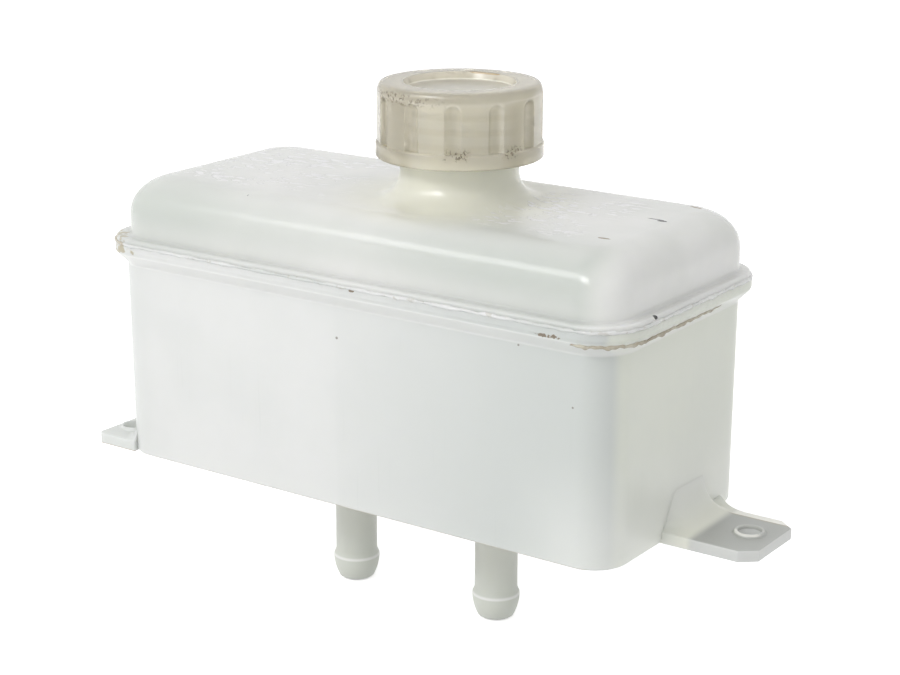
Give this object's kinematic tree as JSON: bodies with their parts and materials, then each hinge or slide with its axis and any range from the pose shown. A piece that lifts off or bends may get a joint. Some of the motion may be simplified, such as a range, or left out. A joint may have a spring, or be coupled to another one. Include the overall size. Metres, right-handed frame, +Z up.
{
  "type": "brake fluid reservoir",
  "caption": "Translucent plastic brake fluid reservoir with two chambers, a welded domed cover, a screw cap on an offset neck, hose spigots and fixing ears.",
  "frame": {"origin": "centre of the tub's underside, the face that lies on the bracket", "axes": "+X along the length towards the wide fixing ear, +Z up along the filler neck's axis"},
  "size_m": [0.1998, 0.0798, 0.1498],
  "materials": {
    "tub_plastic": "satin, milky translucent",
    "cover_plastic": "soft gloss, milky translucent",
    "cap_plastic": "soft gloss, ivory translucent",
    "seal_rubber": "matt"
  },
  "bodies": {
    "reservoir": {"tub": "tub_plastic", "cover": "cover_plastic"},
    "seal": {"cap_seal": "seal_rubber"},
    "cap": {"screw_cap": "cap_plastic"}
  },
  "joints": [
    {"name": "cap_lift", "type": "slide", "parent": "reservoir", "child": "seal", "axis": [0, 0, 1], "range_m": [0, 0.012]},
    {"name": "cap_turn", "type": "hinge", "parent": "seal", "child": "cap", "pos_m": [0.012, 0, 0.1064], "axis": [0, 0, 1], "range_deg": [0, 1080]}
  ],
  "couplings": [
    {"joint": "cap_lift", "follows": "cap_turn", "m_per_rad": 0.0006366}
  ]
}
